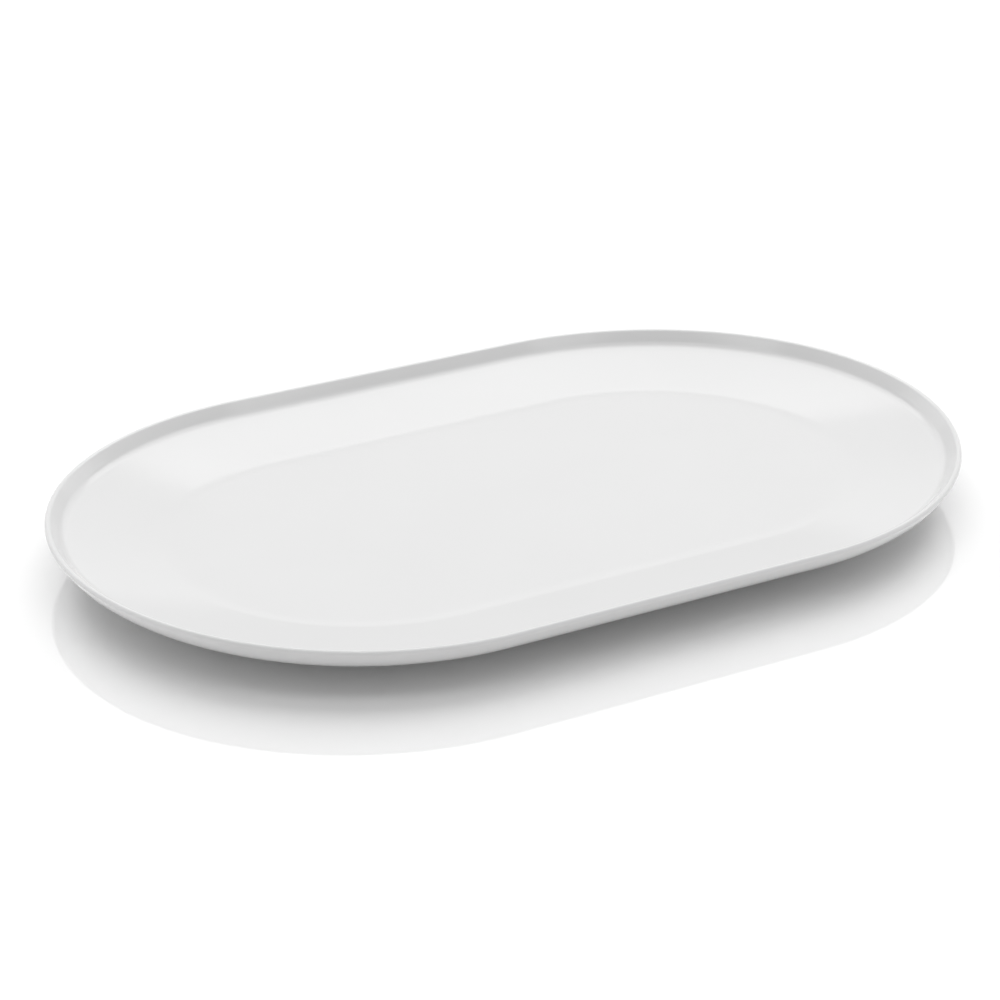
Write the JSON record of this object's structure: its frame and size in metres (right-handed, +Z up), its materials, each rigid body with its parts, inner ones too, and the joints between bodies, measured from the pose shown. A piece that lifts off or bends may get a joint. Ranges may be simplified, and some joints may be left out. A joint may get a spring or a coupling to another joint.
{
  "type": "oval serving platter",
  "caption": "Shallow oval serving platter in white glazed ceramic, with straight sides and round ends, a flat floor, a sloping band, an upturned rim and a bare foot ring.",
  "frame": {"origin": "on the table under the middle of the platter", "axes": "+X along the platter, +Y across it, +Z up"},
  "size_m": [0.358, 0.232, 0.0211],
  "materials": {
    "white_glaze": "smooth white gloss glaze",
    "bare_biscuit": "unglazed, ground matte"
  },
  "bodies": {
    "root": {"platter_body": "white_glaze", "foot_ring": "bare_biscuit"}
  },
  "joints": []
}
